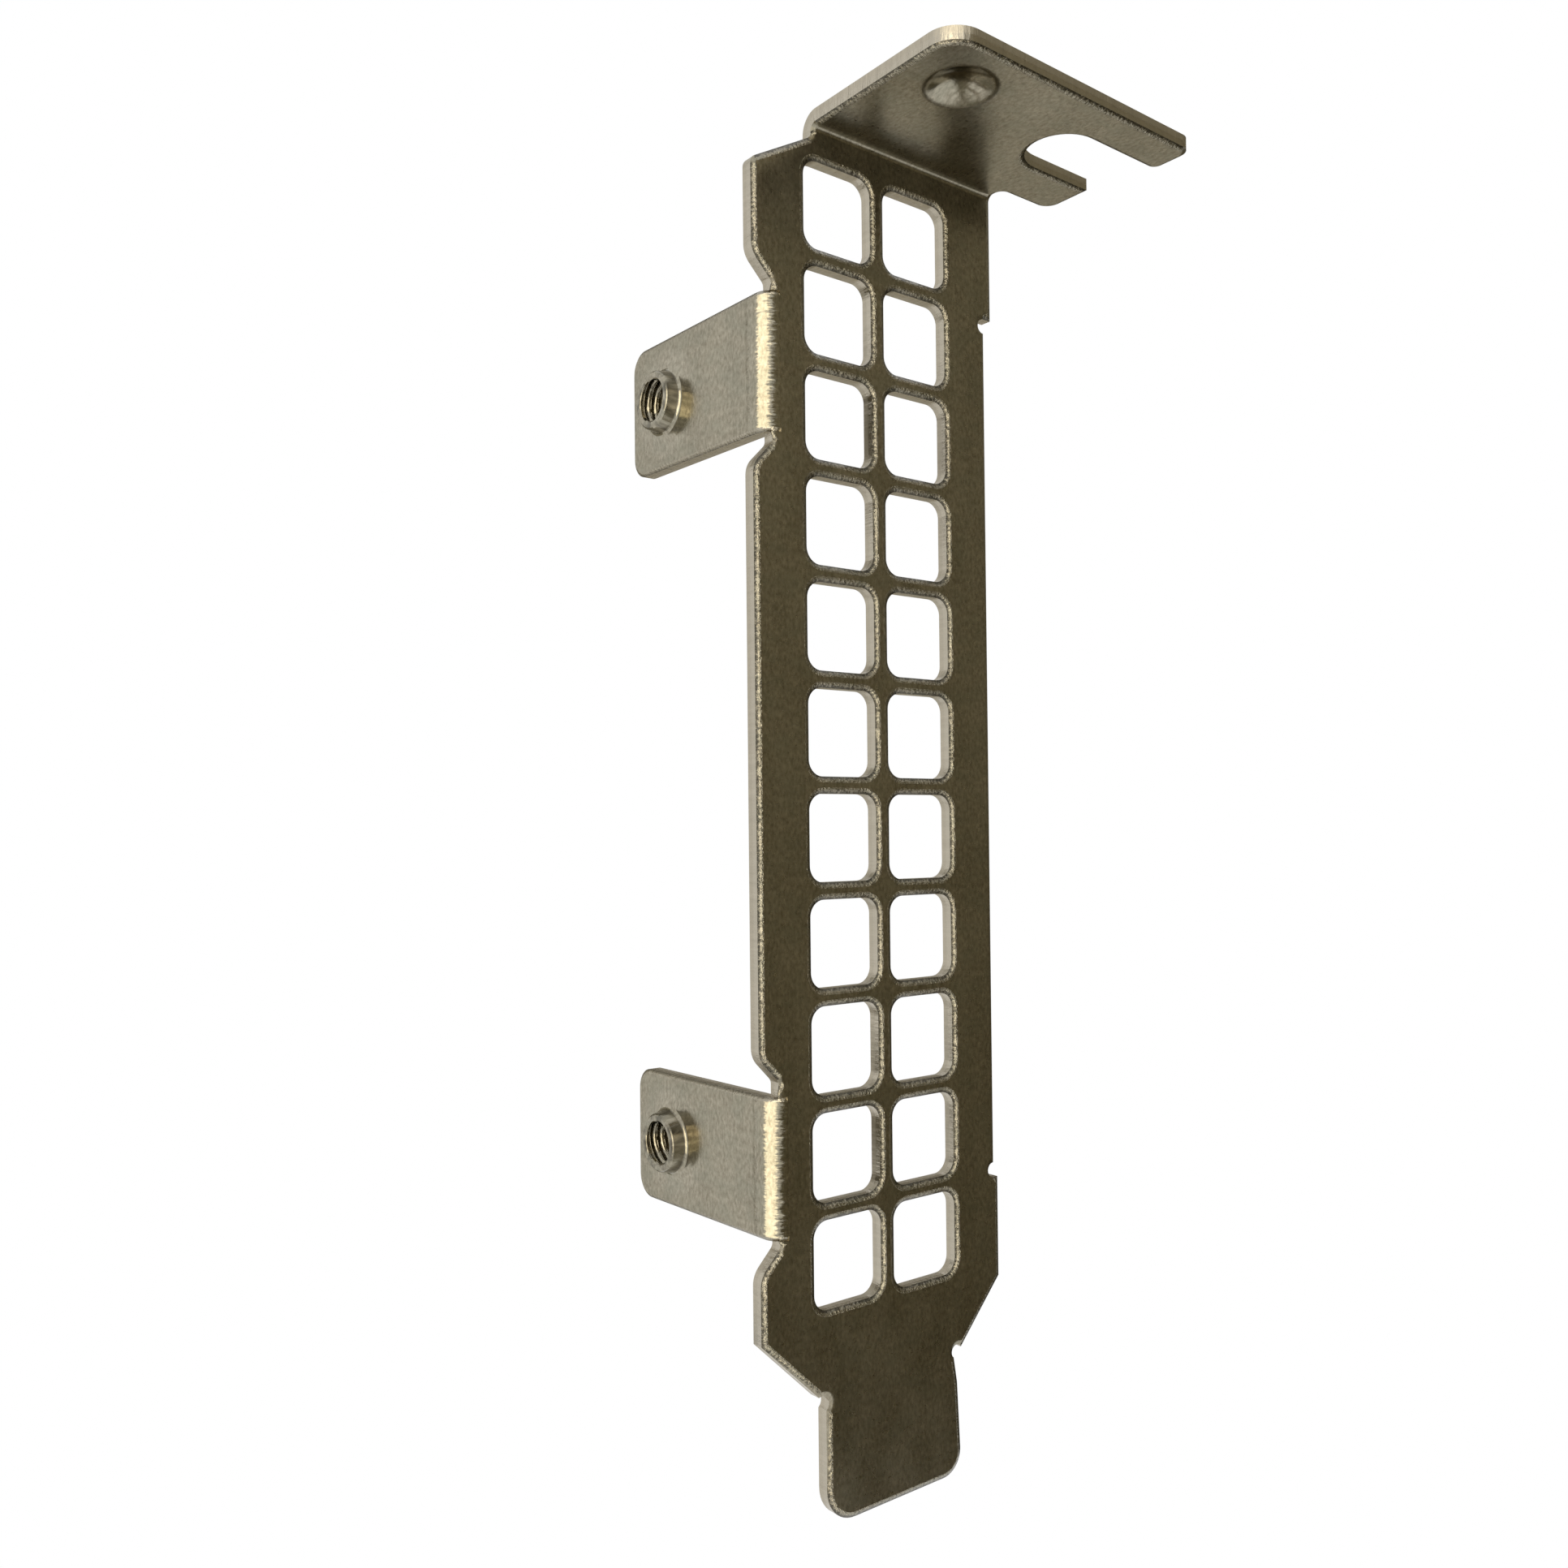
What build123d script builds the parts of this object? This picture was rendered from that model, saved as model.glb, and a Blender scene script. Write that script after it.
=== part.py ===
"""Low profile expansion-card bracket, blanked and folded from one piece of plated sheet steel.

+Z is up, +Y points into the computer case and the vented plate faces -Y.
The origin is the centre of the screw slot's round end, in the plane of the foot's underside.
"""
import os

from build123d import *

# Sheet
sheet = 0.86
foot_bend_inside = 0.30
ear_bend_inside = 0.15
roll_depth = 0.14
roll_width = 0.34
flange_roll_width = 0.24

# Plate, measured from its left edge and down from the foot's underside
plate_width = 18.42
plate_height = 78.34
middle_inset = 0.62
lower_inset = 0.27
upper_block_height = 7.80
lower_block_height = 6.10
corner_cut_height = 3.00
corner_cut_round = 0.60
corner_cut_inside_round = 0.40
edge_relief_radius = 0.45

# Notches of the left edge above and below each ear
notch_reach = 1.32
notch_round = 0.45
upper_notch_above = 0.50
upper_notch_below = 0.62
lower_notch_above = 0.85
lower_notch_below = 0.35
block_slope_height = 1.35
block_round = 1.30

# Tab that drops into the case
tab_left = 4.40
tab_width = 10.36
tab_flare = 0.28
tab_length = 7.22
tab_taper_height = 3.80
tab_taper_left = 3.95
tab_taper_right = 3.50
tab_left_round = 2.00
tab_right_round = 1.40
tab_left_relief_radius = 0.50
tab_left_relief_out = 0.30
tab_left_relief_drop = 0.40
tab_right_relief_radius = 0.40
tab_right_swell = 0.30
tab_right_swell_height = 1.80
tab_right_swell_round = 2.50

# Vents
vent_columns = 2
vent_rows = 11
vent_width = 4.90
vent_round = 0.95
vent_bar_x = 0.99
vent_bar_z = 0.967
vent_left = 3.63
vent_top = 1.91
vent_above_tab = 4.76

# Foot
foot_left = 4.20
foot_depth = 11.43
foot_reach = 23.68
rear_finger_short = 1.02
foot_rear_gap = 1.02
foot_corner_round = 1.80
front_finger_round = 0.80
front_finger_slot_round = 0.50
rear_finger_round = 0.90
rear_finger_slot_round = 0.50
foot_relief_round = 0.60

# Screw slot
slot_width = 4.42
slot_from_left_edge = 17.87
slot_from_face = 6.48

# Dimple pressed up into the foot
dimple_from_left = 7.98
dimple_from_face = 8.04
dimple_radius = 2.05
dimple_depth = 0.58

# Ears
ear_inset = 0.82
ear_height = 7.80
ear_reach = 14.00
ear_round = 1.30
upper_ear_top = 9.95
lower_ear_above_tab = 16.97

# Tapped collars drawn out of the ears
tap_drill_radius = 1.25
collar_from_ear_end = 3.85
collar_tip_radius = 1.72
collar_root_radius = 1.88
collar_height = 1.06
collar_rim_chamfer = 0.14
collar_mouth_chamfer = 0.12
collar_root_round = 0.22
bead_radius = 2.20
bead_height = 0.16
bead_slope = 0.30
hole_entry_chamfer = 0.25

# Planes and lines of the folded sheet
left_edge = -slot_from_left_edge
face_y = slot_from_face
back_y = face_y + sheet
right_edge = left_edge + plate_width
middle_edge = right_edge - middle_inset
lower_edge = right_edge - lower_inset
tab_left_edge = left_edge + tab_left
tab_right_edge = tab_left_edge + tab_width
foot_bend_z = -foot_bend_inside
ear_outer_x = left_edge + ear_inset
ear_inner_x = ear_outer_x + sheet
ear_bend_x = ear_inner_x + ear_bend_inside
ear_end_y = face_y + ear_reach
notch_x = left_edge + notch_reach
tab_shoulder = plate_height - tab_length
lower_block_bottom = tab_shoulder - tab_taper_height
lower_block_top = lower_block_bottom - lower_block_height
lower_ear_top = tab_shoulder - lower_ear_above_tab
ears = (
    (-upper_ear_top, upper_notch_above, upper_notch_below),
    (-lower_ear_top, lower_notch_above, lower_notch_below),
)


def edge_past_ear(ear_top, notch_above, notch_below):
    """Left edge of the plate from the block above an ear to the block below it."""
    ear_bottom = ear_top - ear_height
    above = ear_top + notch_above
    below = ear_bottom - notch_below
    return [
        (left_edge, above + block_slope_height, block_round),
        (notch_x, above, notch_round),
        (notch_x, ear_top, 0),
        (ear_bend_x, ear_top, 0),
        (ear_bend_x, ear_bottom, 0),
        (notch_x, ear_bottom, 0),
        (notch_x, below, notch_round),
        (left_edge, below - block_slope_height, block_round),
    ]


plate_edge = [
    (left_edge + foot_left, foot_bend_z, 0),
    (left_edge + foot_left, foot_bend_z - foot_bend_inside, corner_cut_inside_round),
    (left_edge, -corner_cut_height, corner_cut_round),
    *edge_past_ear(*ears[0]),
    *edge_past_ear(*ears[1]),
    (left_edge, -lower_block_bottom, 0),
    (left_edge + tab_taper_left, -tab_shoulder, 0),
    (tab_left_edge, -tab_shoulder, 0),
    (tab_left_edge, -plate_height, tab_left_round),
    (tab_right_edge, -plate_height, tab_right_round),
    (tab_right_edge - tab_flare, -tab_shoulder - tab_right_swell_height, tab_right_swell_round),
    (tab_right_edge - tab_flare - tab_right_swell, -tab_shoulder, 0),
    (lower_edge - tab_taper_right, -tab_shoulder, 0),
    (lower_edge, -lower_block_bottom, 0),
    (lower_edge, -lower_block_top, 0),
    (middle_edge, -lower_block_top, 0),
    (middle_edge, -upper_block_height, 0),
    (right_edge, -upper_block_height, 0),
    (right_edge, foot_bend_z, 0),
]
reliefs = [
    (middle_edge, -upper_block_height - edge_relief_radius, edge_relief_radius),
    (middle_edge, -lower_block_top + edge_relief_radius, edge_relief_radius),
    (
        tab_left_edge - tab_left_relief_out,
        -tab_shoulder - tab_left_relief_drop,
        tab_left_relief_radius,
    ),
    (tab_right_edge - tab_flare, -tab_shoulder, tab_right_relief_radius),
]
vent_field_height = tab_shoulder - vent_above_tab - vent_top
vent_pitch_x = vent_width + vent_bar_x
vent_pitch_z = (vent_field_height + vent_bar_z) / vent_rows
vent_height = vent_pitch_z - vent_bar_z
vent_grid_x = left_edge + vent_left + vent_width / 2 + (vent_columns - 1) * vent_pitch_x / 2
vent_grid_z = -vent_top - vent_field_height / 2

# The two ears for the card, each folded back from the plate
with BuildPart() as card_ears:
    for ear_top, _, _ in ears:
        ear_bottom = ear_top - ear_height
        with BuildSketch(Plane.XY.offset(ear_bottom)) as ear_section:
            with BuildLine():
                FilletPolyline(
                    [
                        (ear_bend_x + sheet, face_y),
                        (ear_outer_x, face_y),
                        (ear_outer_x, ear_end_y),
                        (ear_inner_x, ear_end_y),
                        (ear_inner_x, back_y),
                        (ear_bend_x + sheet, back_y),
                    ],
                    radius=[0, ear_bend_inside + sheet, 0, 0, ear_bend_inside, 0],
                    close=True,
                )
            make_face()
        extrude(amount=ear_height)
    far_corners = card_ears.edges().filter_by(Axis.X).group_by(Axis.Y)[-1]
    fillet(far_corners, ear_round)
    outer_faces = card_ears.faces().group_by(SortBy.AREA)[-1].group_by(Axis.X)[0]
    for face in outer_faces:
        chamfer(face.edges(), flange_roll_width, roll_depth, reference=face)

    # Tapped collars, drawn outwards round the two card screw holes
    for ear_top, _, _ in ears:
        ear_centre_z = ear_top - ear_height / 2
        collar_plane = Plane(
            origin=(ear_outer_x, ear_end_y - collar_from_ear_end, ear_centre_z),
            x_dir=(0, 1, 0),
            z_dir=(0, 0, 1),
        )
        with BuildSketch(collar_plane) as collar_section:
            with BuildLine():
                FilletPolyline(
                    [
                        (tap_drill_radius / 2, -sheet / 2),
                        (bead_radius + bead_slope, -sheet / 2),
                        (bead_radius + bead_slope, 0),
                        (bead_radius, bead_height),
                        (collar_root_radius, bead_height),
                        (collar_tip_radius, collar_height - collar_rim_chamfer),
                        (collar_tip_radius - collar_rim_chamfer, collar_height),
                        (tap_drill_radius / 2, collar_height),
                    ],
                    radius=[0, 0, 0, 0, collar_root_round, 0, 0, 0],
                    close=True,
                )
            make_face()
        revolve(axis=Axis(collar_plane.origin, (1, 0, 0)))
        with BuildSketch(collar_plane) as bore_section:
            with BuildLine():
                Polyline(
                    (0, -sheet),
                    (tap_drill_radius + hole_entry_chamfer, -sheet),
                    (tap_drill_radius, hole_entry_chamfer - sheet),
                    (tap_drill_radius, collar_height - collar_mouth_chamfer),
                    (tap_drill_radius + collar_mouth_chamfer, collar_height),
                    (0, collar_height),
                    close=True,
                )
            make_face()
        revolve(axis=Axis(collar_plane.origin, (1, 0, 0)), mode=Mode.SUBTRACT)

# The whole folded sheet
with BuildPart() as bracket:
    # Vented plate
    with BuildSketch(Plane.XZ.offset(-back_y)) as plate_outline:
        with BuildLine():
            FilletPolyline(
                [(x, z) for x, z, _ in plate_edge],
                radius=[r for _, _, r in plate_edge],
                close=True,
            )
        make_face()
        for x, z, radius in reliefs:
            with Locations((x, z)):
                Circle(radius, mode=Mode.SUBTRACT)
        with Locations((vent_grid_x, vent_grid_z)):
            with GridLocations(vent_pitch_x, vent_pitch_z, vent_columns, vent_rows):
                RectangleRounded(vent_width, vent_height, vent_round, mode=Mode.SUBTRACT)
    extrude(amount=sheet)

    # Foot with its open screw slot
    foot_end = left_edge + foot_reach
    rear_finger_end = foot_end - rear_finger_short
    with BuildSketch(Plane.XY) as foot_outline:
        with BuildLine():
            FilletPolyline(
                [
                    (left_edge + foot_left, face_y - foot_bend_inside),
                    (left_edge + foot_left, face_y - foot_depth),
                    (foot_end, face_y - foot_depth),
                    (foot_end, 0),
                    (rear_finger_end, 0),
                    (rear_finger_end, face_y - foot_rear_gap),
                    (right_edge, face_y - foot_rear_gap),
                    (right_edge, face_y - foot_bend_inside),
                ],
                radius=[
                    0, foot_corner_round, front_finger_round, 0,
                    0, rear_finger_round, foot_relief_round, 0,
                ],
                close=True,
            )
        make_face()
        Circle(slot_width / 2, mode=Mode.SUBTRACT)
        Rectangle(foot_end, slot_width, align=(Align.MIN, Align.CENTER), mode=Mode.SUBTRACT)
        slot_corners = foot_outline.vertices().filter_by_position(Axis.Y, -slot_width, slot_width)
        slot_corners = slot_corners.sort_by(Axis.X)
        fillet(slot_corners[-1], front_finger_slot_round)
        fillet(slot_corners[-2], rear_finger_slot_round)
    extrude(amount=sheet)

    # Fold between plate and foot
    with BuildSketch(Plane.YZ.offset(left_edge + foot_left)) as foot_fold:
        with Locations((face_y - foot_bend_inside, foot_bend_z)):
            Circle(foot_bend_inside + sheet)
            Circle(foot_bend_inside, mode=Mode.SUBTRACT)
            Rectangle(sheet * 2, sheet * 2, align=(Align.MIN, Align.MIN), mode=Mode.INTERSECT)
    extrude(amount=plate_width - foot_left)

    # Soft rounding along every edge on the side the punch entered, which runs on smoothly round the foot
    front_face = bracket.faces().group_by(SortBy.AREA)[-1].sort_by(Axis.Y)[0]
    fold_line = front_face.edges().sort_by(Axis.Z)[-1]
    near_ears = (notch_x + roll_depth, ear_bend_x + roll_depth / 2)
    ear_joints = front_face.edges().filter_by_position(Axis.X, *near_ears)
    rolled = front_face.edges() - ear_joints - [fold_line]
    chamfer(rolled, roll_width, roll_depth, reference=front_face)

    # Dimple: a shallow dome of one wall thickness pushed up out of the foot
    dimple_plane = Plane(
        origin=(left_edge + dimple_from_left, face_y - dimple_from_face, 0),
        x_dir=(1, 0, 0),
        z_dir=(0, -1, 0),
    )
    dome_sphere = (dimple_radius**2 + dimple_depth**2) / (2 * dimple_depth)
    for rise, mode in ((sheet, Mode.ADD), (0, Mode.SUBTRACT)):
        with BuildSketch(dimple_plane) as dome_section:
            with Locations((0, rise + dimple_depth - dome_sphere)):
                Circle(dome_sphere)
            Rectangle(
                dimple_radius, rise + sheet / 2 + dimple_depth,
                align=(Align.MIN, Align.MIN), mode=Mode.INTERSECT,
            )
        revolve(axis=Axis(dimple_plane.origin, (0, 0, 1)), mode=mode)

    add(card_ears.part)

bracket.part.label = "bracket"
os.makedirs("parts", exist_ok=True)
export_step(bracket.part, "parts/bracket.step")
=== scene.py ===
import math

import bmesh
import bpy
from mathutils import Matrix, Vector

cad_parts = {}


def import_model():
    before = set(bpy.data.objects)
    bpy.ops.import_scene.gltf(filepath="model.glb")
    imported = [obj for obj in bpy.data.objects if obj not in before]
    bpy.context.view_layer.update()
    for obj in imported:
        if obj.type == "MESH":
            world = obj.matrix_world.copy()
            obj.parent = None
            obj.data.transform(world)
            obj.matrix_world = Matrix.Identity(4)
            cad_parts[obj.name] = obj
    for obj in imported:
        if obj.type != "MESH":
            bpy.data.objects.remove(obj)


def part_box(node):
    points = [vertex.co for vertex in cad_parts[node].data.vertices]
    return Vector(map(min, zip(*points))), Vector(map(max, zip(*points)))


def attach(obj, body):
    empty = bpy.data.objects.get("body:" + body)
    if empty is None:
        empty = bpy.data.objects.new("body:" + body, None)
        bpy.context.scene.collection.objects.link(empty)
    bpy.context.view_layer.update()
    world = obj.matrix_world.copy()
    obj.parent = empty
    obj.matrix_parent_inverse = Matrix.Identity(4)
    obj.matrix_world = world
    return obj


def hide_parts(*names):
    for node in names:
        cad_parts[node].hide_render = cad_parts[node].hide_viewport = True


bl_info = {
    "name": "Card bracket",
    "version": (1, 0, 0),
    "blender": (4, 5, 0),
    "location": "3D View > Sidebar > Bracket",
    "description": "Dresses a folded sheet metal card bracket and lights it",
    "category": "Object",
}

MM = 0.001
NODE = "bracket"
BODY = "root"

# The folded sheet in the shared frame: origin at the screw slot's round end, on the foot's underside
SHEET = 0.86 * MM
FACE_Y = 6.48 * MM
FOOT_FOLD_INSIDE = 0.30 * MM
EAR_FOLD_INSIDE = 0.15 * MM
EAR_FOLD_OUTSIDE = SHEET + EAR_FOLD_INSIDE
EAR_OUTER_X = -17.05 * MM
EAR_FOLD_X = EAR_OUTER_X + SHEET + EAR_FOLD_INSIDE
EAR_FOLD_Y = FACE_Y + SHEET + EAR_FOLD_INSIDE
EAR_FOLD_LENGTH = EAR_FOLD_OUTSIDE * math.pi / 2
EAR_HEIGHT = 7.80 * MM
EAR_CENTRES_Z = (-13.85 * MM, -58.05 * MM)
COLLAR_Y = 16.63 * MM
COLLAR_REACH = 2.51 * MM
COLLAR_RIM_X = -17.96 * MM
BARREL_START_X = EAR_OUTER_X - 0.25 * MM
PRESSED_RING = (2.60 * MM, 3.50 * MM)
BORE_RADIUS = 1.25 * MM
BORE_START_X = -16.44 * MM
BORE_END_X = -17.99 * MM
BORE_SEGMENTS = 42
DIMPLE_CENTRE = (-9.89 * MM, -1.56 * MM)
DIMPLE_REACH = 2.06 * MM
DIMPLE_BALL = 3.91 * MM
DIMPLE_LIP = (1.45 * MM, 2.30 * MM)

# Thread: shares of half a pitch that the groove's flat floor and its flank take
FLOOR_SHARE = 0.12
FLANK_SHARE = 0.70

# Shares of the sheet's thickness: the least step of a cut edge, and the depth of its rolled part
CUT_STEP = 0.1
ROLL_DEPTH = 0.25

# How fully the rolled edges of the ears and of the rest take the look of a rolled edge
EAR_ROLL = 0.5
PLATE_ROLL = 1.0

# Limits for sorting the faces: the turn over which a bank is rolled, the lean of a collar's rim, what
# counts as level and as flat. Then distances that count as none.
BANK_TURN = math.radians(80)
RIM_LEAN = (0.5, 0.9)
LEVEL = 0.5
COPLANAR = 0.99999
WELD = 2e-6
THREAD_WELD = 5 * WELD
BORE_SLACK = 10 * WELD

# Noises: stretch along each axis, cells a millimetre, detail and roughness. All but the galling lie on
# the flat blank, whose third axis is the depth in the sheet. The galling's stretch takes in the metres.
GRAIN = ((1.0, 0.55, 0.0), 5.0, 3.0, 0.65)
CLOUD = ((1.0, 0.40, 0.0), 0.45, 3.0, 0.6)
SPECKS = ((1.0, 1.0, 0.0), 3.0, 2.0, 0.7)
PATCHES = ((0.6, 1.0, 0.0), 0.9, 2.0, 0.5)
SHEAR = ((1.0, 1.0, 0.12), 5.5, 3.0, 0.65)
PEEL = ((1.0, 1.0, 0.4), 6.0, 3.0, 0.65)
CREASE = ((0.18, 1.0, 0.0), 8.0, 2.0, 0.7)
COARSE_CREASE = ((0.30, 1.0, 0.0), 3.0, 1.0, 0.5)
GALL = ((500.0, 1500.0, 1500.0), 1.0, 2.0, 0.6)

# From where a noise, a depth or a mask starts to show to where it shows in full
SPECKS_SHOW = (0.62, 0.72)
PATCHES_SHOW = (0.40, 0.65)
MOTTLE_SHOW = (0.36, 0.64)
TORN_SHOW = (0.5, 0.65)
# The crevice's painted shade: the depth and the roll where it starts to show
CREVICE_SHOW = (0.085, 0.125)
CREVICE_ROLL = (0.6, 0.9)
BARREL_DARK_SHOW = (0.42, 0.62)

# How far the peel shifts the depth where the crevice's painted shade starts, and the clouds' share in the
# mottled plate
CREVICE_RAGGED = 0.35
CLOUD_SHARE = 0.25

# Folds, in millimetres on the blank: where the creased strip fades past the fold's end, how ragged it
# is, and half the width of the folding bar's mark. Then how far that mark turns the surface.
CREASED_END = (-0.45, -0.10)
CREASED_RAGGED = 0.6
BAR_MARK_HALF = 0.16
BAR_MARK_TILT = 0.10

# Steps from the plain face's roughness
CLOUD_ROUGH = 0.14
SPECK_ROUGH = -0.10
BURNISHED_ROUGH = -0.06
TORN_ROUGH = 0.10
BENT_ROUGH = -0.08
ROLLED_ROUGH = -0.16
DENT_ROUGH = -0.17
COLLAR_ROUGH = -0.16

# Colours, and how much of each shows over the plate's own
DULL_PLATE = "#847d6c"
BRIGHT_PLATE = "#aea795"
COOL_PLATE = "#8a8b7b"
BARE_STEEL = "#bdb5a5"
# Painted shade for the crevice where an edge starts to roll, also the colour of the barrels' dark patches
CREVICE_SHADE_AND_BARREL_DARK = "#1c1914"
COOL_SHARE = 0.30
BARE_SHARE = 0.7
CREVICE_SHADE_AND_BARREL_DARK_SHARE = 0.65
BARREL_DARK_SHARE = 0.80

# Floor, in metres: its side, and where its shadow starts to fade and is gone. Then how much of it is
# plain white at its middle.
FLOOR_SIZE = 6.0
FLOOR_FADE = (0.05, 0.45)
FLOOR_WHITE = 0.80

# Key lamp, in metres from the part's middle
KEY_PLACE = (-0.36, -0.29, 0.0)
KEY_SIZE = (0.52, 0.60)
KEY_COLOUR = "#fff3d8"

# Camera: the sensor in millimetres, and the nearest and farthest that it sees in metres
SENSOR_WIDTH = 36.0
CLIP = (0.005, 10.0)


def linear(hex_colour):
    """The linear colour of an sRGB hex code such as '#8a8478'."""
    parts = [int(hex_colour[i:i + 2], 16) / 255 for i in (1, 3, 5)]
    return [c / 12.92 if c <= 0.04045 else ((c + 0.055) / 1.055) ** 2.4 for c in parts] + [1.0]


def feed(tree, socket, value):
    """Links an output to the socket, or sets a plain value on it."""
    if isinstance(value, bpy.types.NodeSocket):
        tree.links.new(value, socket)
    elif value is not None:
        socket.default_value = value


def add_node(tree, kind, links=(), **values):
    """Adds a node, sets its properties and sockets by name, and links (output, input name) pairs to it."""
    node = tree.nodes.new(kind)
    for name, value in values.items():
        if hasattr(node, name):
            setattr(node, name, value)
        else:
            node.inputs[name.replace("_", " ")].default_value = value
    for source, target in links:
        tree.links.new(source, node.inputs[target])
    return node


def math_node(tree, operation, a, b=None, clamp=False):
    """A math node of two values, each a socket or a number."""
    node = add_node(tree, "ShaderNodeMath", operation=operation, use_clamp=clamp)
    feed(tree, node.inputs[0], a)
    feed(tree, node.inputs[1], b)
    return node.outputs[0]


def vector_math(tree, operation, a, b=None):
    """A vector math node of two values, each a socket or a vector. A length comes out as a number."""
    node = add_node(tree, "ShaderNodeVectorMath", operation=operation)
    feed(tree, node.inputs[0], a)
    feed(tree, node.inputs[1], b)
    return node.outputs["Value" if operation == "LENGTH" else "Vector"]


# Thread


def thread_tree():
    """Geometry nodes that make the wall of a row of tapped bores along -X."""
    tree = bpy.data.node_groups.new("Tapped bores", "GeometryNodeTree")
    face = tree.interface
    face.new_socket("Geometry", in_out="OUTPUT", socket_type="NodeSocketGeometry")
    sockets = (
        ("Bores", "NodeSocketInt"),
        ("Spacing", "NodeSocketVector"),
        ("Start", "NodeSocketVector"),
        ("Segments", "NodeSocketInt"),
        ("Rings", "NodeSocketInt"),
        ("Length", "NodeSocketFloat"),
        ("Radius", "NodeSocketFloat"),
        ("Depth", "NodeSocketFloat"),
        ("Pitch", "NodeSocketFloat"),
        ("Run-out", "NodeSocketFloat"),
        ("Material", "NodeSocketMaterial"),
    )
    for name, kind in sockets:
        face.new_socket(name, in_out="INPUT", socket_type=kind)
    given = tree.nodes.new("NodeGroupInput").outputs

    def calc(operation, a, b=None, clamp=False):
        return math_node(tree, operation, a, b, clamp)

    # A flat grid, one row of points round the bore and one along it
    grid = add_node(
        tree, "GeometryNodeMeshGrid", Size_X=1.0, Size_Y=1.0,
        links=[(calc("ADD", given["Segments"], 1), "Vertices X"), (given["Rings"], "Vertices Y")],
    )
    place = tree.nodes.new("GeometryNodeInputPosition")
    flat = add_node(tree, "ShaderNodeSeparateXYZ", links=[(place.outputs[0], "Vector")])
    turn = calc("ADD", flat.outputs["X"], 0.5)
    along = calc("MULTIPLY", calc("ADD", flat.outputs["Y"], 0.5), given["Length"])

    # V groove that climbs one pitch a turn and fades out at both ends
    phase = calc("FRACT", calc("SUBTRACT", calc("DIVIDE", along, given["Pitch"]), turn))
    from_floor = calc("ABSOLUTE", calc("SUBTRACT", calc("MULTIPLY", phase, 2.0), 1.0))
    flank = calc("DIVIDE", calc("SUBTRACT", from_floor, FLOOR_SHARE), FLANK_SHARE)
    groove = calc("SUBTRACT", 1.0, flank, clamp=True)
    to_end = calc("MINIMUM", along, calc("SUBTRACT", given["Length"], along))
    fade = calc("DIVIDE", to_end, given["Run-out"], clamp=True)
    cut = calc("MULTIPLY", calc("MULTIPLY", groove, fade), given["Depth"])
    radius = calc("ADD", given["Radius"], cut)
    angle = calc("MULTIPLY", turn, math.tau)
    rolled = add_node(
        tree, "ShaderNodeCombineXYZ",
        links=[
            (calc("MULTIPLY", along, -1.0), "X"),
            (calc("MULTIPLY", radius, calc("COSINE", angle)), "Y"),
            (calc("MULTIPLY", radius, calc("SINE", angle)), "Z"),
        ],
    )
    wall = add_node(
        tree, "GeometryNodeSetPosition",
        links=[(grid.outputs["Mesh"], "Geometry"), (rolled.outputs[0], "Position")],
    )
    closed = add_node(
        tree, "GeometryNodeMergeByDistance", Distance=WELD,
        links=[(wall.outputs[0], "Geometry")],
    )

    # One wall at each bore
    row = add_node(
        tree, "GeometryNodeMeshLine",
        links=[(given["Bores"], "Count"), (given["Start"], "Start Location"), (given["Spacing"], "Offset")],
    )
    bores = add_node(
        tree, "GeometryNodeInstanceOnPoints",
        links=[(row.outputs[0], "Points"), (closed.outputs[0], "Instance")],
    )
    real = add_node(tree, "GeometryNodeRealizeInstances", links=[(bores.outputs[0], "Geometry")])
    coated = add_node(
        tree, "GeometryNodeSetMaterial",
        links=[(real.outputs[0], "Geometry"), (given["Material"], "Material")],
    )
    add_node(tree, "NodeGroupOutput", links=[(coated.outputs[0], "Geometry")])
    return tree


def thread_mesh(material, looks):
    """A plain mesh of both tapped walls, made by the node tree."""
    tree = thread_tree()
    holder = bpy.data.objects.new("tapped_bores", bpy.data.meshes.new("tapped_bores"))
    bpy.context.scene.collection.objects.link(holder)
    modifier = holder.modifiers.new("Tapped bores", "NODES")
    modifier.node_group = tree
    upper, lower = EAR_CENTRES_Z
    values = {
        "Bores": len(EAR_CENTRES_Z),
        "Spacing": (0.0, 0.0, lower - upper),
        "Start": (BORE_START_X, COLLAR_Y, upper),
        "Segments": BORE_SEGMENTS,
        "Rings": looks.thread_rings,
        "Length": BORE_START_X - BORE_END_X,
        "Radius": BORE_RADIUS,
        "Depth": looks.thread_depth,
        "Pitch": looks.thread_pitch,
        "Run-out": looks.thread_run_out,
        "Material": material,
    }
    for item in tree.interface.items_tree:
        if item.in_out == "INPUT":
            modifier[item.identifier] = values[item.name]
    seen = holder.evaluated_get(bpy.context.evaluated_depsgraph_get())
    mesh = bpy.data.meshes.new_from_object(seen)
    bpy.data.objects.remove(holder)
    return mesh


# Coordinates of the flat blank


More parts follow.
